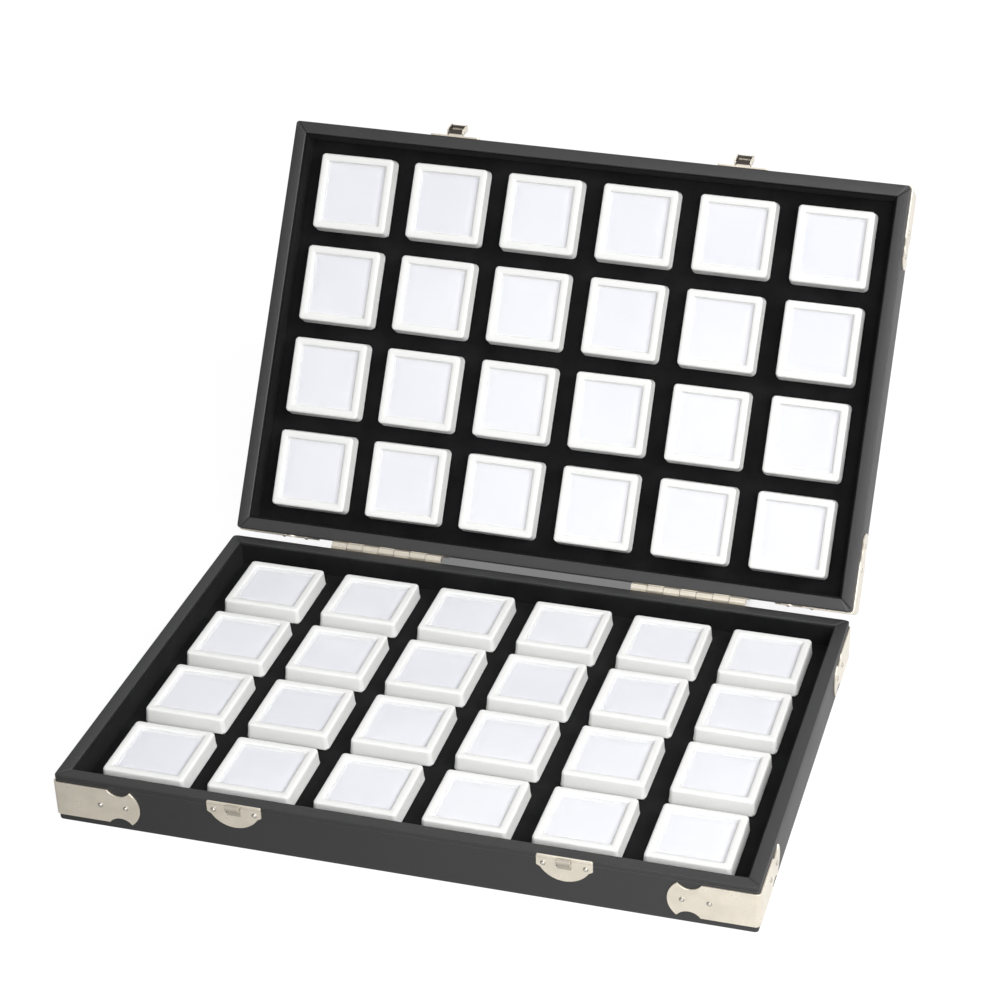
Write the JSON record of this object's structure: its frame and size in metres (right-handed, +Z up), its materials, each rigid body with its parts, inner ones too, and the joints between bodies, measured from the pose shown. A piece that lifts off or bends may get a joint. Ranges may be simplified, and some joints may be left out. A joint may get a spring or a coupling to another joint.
{
  "type": "mineral specimen case",
  "caption": "Flat hinged display case with two hooked clasps, open like a book, whose padded halves hold a grid of small square windowed specimen boxes.",
  "frame": {"origin": "centre of the base's flat underside", "axes": "+X to the right along the hinge line, -Y to the front where the catches are, +Z up; the lid stands open to the rear at rest"},
  "size_m": [0.3236, 0.359, 0.2056],
  "materials": {
    "leatherette": "fine pebble-grained black leatherette over board, satin",
    "velvet": "matt black velvet lining",
    "foam": "matt black flocked foam",
    "nickel": "warm nickel-plated sheet steel, slightly worn",
    "rivet": "small domed nickel rivets",
    "steel_pin": "drawn steel wire",
    "box_plastic": "smooth white moulded plastic",
    "pad": "white foam pad",
    "clear_window": "clear moulded plastic window"
  },
  "bodies": {
    "base": {"base_bottom_panel": "leatherette", "base_front_wall": "leatherette", "base_rear_wall": "leatherette", "base_left_wall": "leatherette", "base_right_wall": "leatherette", "base_wall_liner": "velvet", "base_foam_tray": "foam", "left_catch_plate": "nickel", "right_catch_plate": "nickel", "left_hinge_base_leaf": "nickel", "right_hinge_base_leaf": "nickel", "hinge_pins": "steel_pin", "base_corner_guards": "nickel", "base_rivets": "rivet"},
    "lid": {"lid_top_panel": "leatherette", "lid_front_wall": "leatherette", "lid_rear_wall": "leatherette", "lid_left_wall": "leatherette", "lid_right_wall": "leatherette", "lid_wall_liner": "velvet", "lid_foam_tray": "foam", "left_clasp_plate": "nickel", "right_clasp_plate": "nickel", "left_hinge_lid_leaf": "nickel", "right_hinge_lid_leaf": "nickel", "lid_corner_guards": "nickel", "lid_rivets": "rivet", "hasp_pins": "steel_pin", "lid_gem_box_bases": "box_plastic", "lid_gem_box_pads": "pad", "lid_gem_box_lids": "box_plastic", "lid_gem_box_windows": "clear_window"},
    "left_hasp": {"left_hasp": "nickel"},
    "right_hasp": {"right_hasp": "nickel"},
    "gem_box_a1": {"gem_box_a1": "box_plastic"},
    "gem_box_a2": {"gem_box_a2": "box_plastic"},
    "gem_box_a3": {"gem_box_a3": "box_plastic"},
    "gem_box_a4": {"gem_box_a4": "box_plastic"},
    "gem_box_b1": {"gem_box_b1": "box_plastic"},
    "gem_box_b2": {"gem_box_b2": "box_plastic"},
    "gem_box_b3": {"gem_box_b3": "box_plastic"},
    "gem_box_b4": {"gem_box_b4": "box_plastic"},
    "gem_box_c1": {"gem_box_c1": "box_plastic"},
    "gem_box_c2": {"gem_box_c2": "box_plastic"},
    "gem_box_c3": {"gem_box_c3": "box_plastic"},
    "gem_box_c4": {"gem_box_c4": "box_plastic"},
    "gem_box_d1": {"gem_box_d1": "box_plastic"},
    "gem_box_d2": {"gem_box_d2": "box_plastic"},
    "gem_box_d3": {"gem_box_d3": "box_plastic"},
    "gem_box_d4": {"gem_box_d4": "box_plastic"},
    "gem_box_e1": {"gem_box_e1": "box_plastic"},
    "gem_box_e2": {"gem_box_e2": "box_plastic"},
    "gem_box_e3": {"gem_box_e3": "box_plastic"},
    "gem_box_e4": {"gem_box_e4": "box_plastic"},
    "gem_box_f1": {"gem_box_f1": "box_plastic"},
    "gem_box_f2": {"gem_box_f2": "box_plastic"},
    "gem_box_f3": {"gem_box_f3": "box_plastic"},
    "gem_box_f4": {"gem_box_f4": "box_plastic"},
    "gem_box_a1_lid": {"gem_box_a1_lid": "box_plastic", "gem_box_a1_window": "clear_window"}
  },
  "joints": [
    {"name": "lid_hinge", "type": "hinge", "parent": "base", "child": "lid", "pos_m": [0, 0.1084, 0.02465], "axis": [-1, 0, 0], "range_deg": [-124, 0]},
    {"name": "left_hasp_hinge", "type": "hinge", "parent": "lid", "child": "left_hasp", "pos_m": [-0.075, 0.23131, 0.20374], "axis": [-1, 0, 0], "range_deg": [-145, 0]},
    {"name": "right_hasp_hinge", "type": "hinge", "parent": "lid", "child": "right_hasp", "pos_m": [0.075, 0.23131, 0.20374], "axis": [-1, 0, 0], "range_deg": [-145, 0]},
    {"name": "gem_box_a1_lift", "type": "slide", "parent": "base", "child": "gem_box_a1", "axis": [0, 0, 1], "range_m": [0, 0.03]},
    {"name": "gem_box_a2_lift", "type": "slide", "parent": "base", "child": "gem_box_a2", "axis": [0, 0, 1], "range_m": [0, 0.03]},
    {"name": "gem_box_a3_lift", "type": "slide", "parent": "base", "child": "gem_box_a3", "axis": [0, 0, 1], "range_m": [0, 0.03]},
    {"name": "gem_box_a4_lift", "type": "slide", "parent": "base", "child": "gem_box_a4", "axis": [0, 0, 1], "range_m": [0, 0.03]},
    {"name": "gem_box_b1_lift", "type": "slide", "parent": "base", "child": "gem_box_b1", "axis": [0, 0, 1], "range_m": [0, 0.03]},
    {"name": "gem_box_b2_lift", "type": "slide", "parent": "base", "child": "gem_box_b2", "axis": [0, 0, 1], "range_m": [0, 0.03]},
    {"name": "gem_box_b3_lift", "type": "slide", "parent": "base", "child": "gem_box_b3", "axis": [0, 0, 1], "range_m": [0, 0.03]},
    {"name": "gem_box_b4_lift", "type": "slide", "parent": "base", "child": "gem_box_b4", "axis": [0, 0, 1], "range_m": [0, 0.03]},
    {"name": "gem_box_c1_lift", "type": "slide", "parent": "base", "child": "gem_box_c1", "axis": [0, 0, 1], "range_m": [0, 0.03]},
    {"name": "gem_box_c2_lift", "type": "slide", "parent": "base", "child": "gem_box_c2", "axis": [0, 0, 1], "range_m": [0, 0.03]},
    {"name": "gem_box_c3_lift", "type": "slide", "parent": "base", "child": "gem_box_c3", "axis": [0, 0, 1], "range_m": [0, 0.03]},
    {"name": "gem_box_c4_lift", "type": "slide", "parent": "base", "child": "gem_box_c4", "axis": [0, 0, 1], "range_m": [0, 0.03]},
    {"name": "gem_box_d1_lift", "type": "slide", "parent": "base", "child": "gem_box_d1", "axis": [0, 0, 1], "range_m": [0, 0.03]},
    {"name": "gem_box_d2_lift", "type": "slide", "parent": "base", "child": "gem_box_d2", "axis": [0, 0, 1], "range_m": [0, 0.03]},
    {"name": "gem_box_d3_lift", "type": "slide", "parent": "base", "child": "gem_box_d3", "axis": [0, 0, 1], "range_m": [0, 0.03]},
    {"name": "gem_box_d4_lift", "type": "slide", "parent": "base", "child": "gem_box_d4", "axis": [0, 0, 1], "range_m": [0, 0.03]},
    {"name": "gem_box_e1_lift", "type": "slide", "parent": "base", "child": "gem_box_e1", "axis": [0, 0, 1], "range_m": [0, 0.03]},
    {"name": "gem_box_e2_lift", "type": "slide", "parent": "base", "child": "gem_box_e2", "axis": [0, 0, 1], "range_m": [0, 0.03]},
    {"name": "gem_box_e3_lift", "type": "slide", "parent": "base", "child": "gem_box_e3", "axis": [0, 0, 1], "range_m": [0, 0.03]},
    {"name": "gem_box_e4_lift", "type": "slide", "parent": "base", "child": "gem_box_e4", "axis": [0, 0, 1], "range_m": [0, 0.03]},
    {"name": "gem_box_f1_lift", "type": "slide", "parent": "base", "child": "gem_box_f1", "axis": [0, 0, 1], "range_m": [0, 0.03]},
    {"name": "gem_box_f2_lift", "type": "slide", "parent": "base", "child": "gem_box_f2", "axis": [0, 0, 1], "range_m": [0, 0.03]},
    {"name": "gem_box_f3_lift", "type": "slide", "parent": "base", "child": "gem_box_f3", "axis": [0, 0, 1], "range_m": [0, 0.03]},
    {"name": "gem_box_f4_lift", "type": "slide", "parent": "base", "child": "gem_box_f4", "axis": [0, 0, 1], "range_m": [0, 0.03]},
    {"name": "gem_box_a1_lid_lift", "type": "slide", "parent": "gem_box_a1", "child": "gem_box_a1_lid", "axis": [0, 0, 1], "range_m": [0, 0.02]}
  ]
}
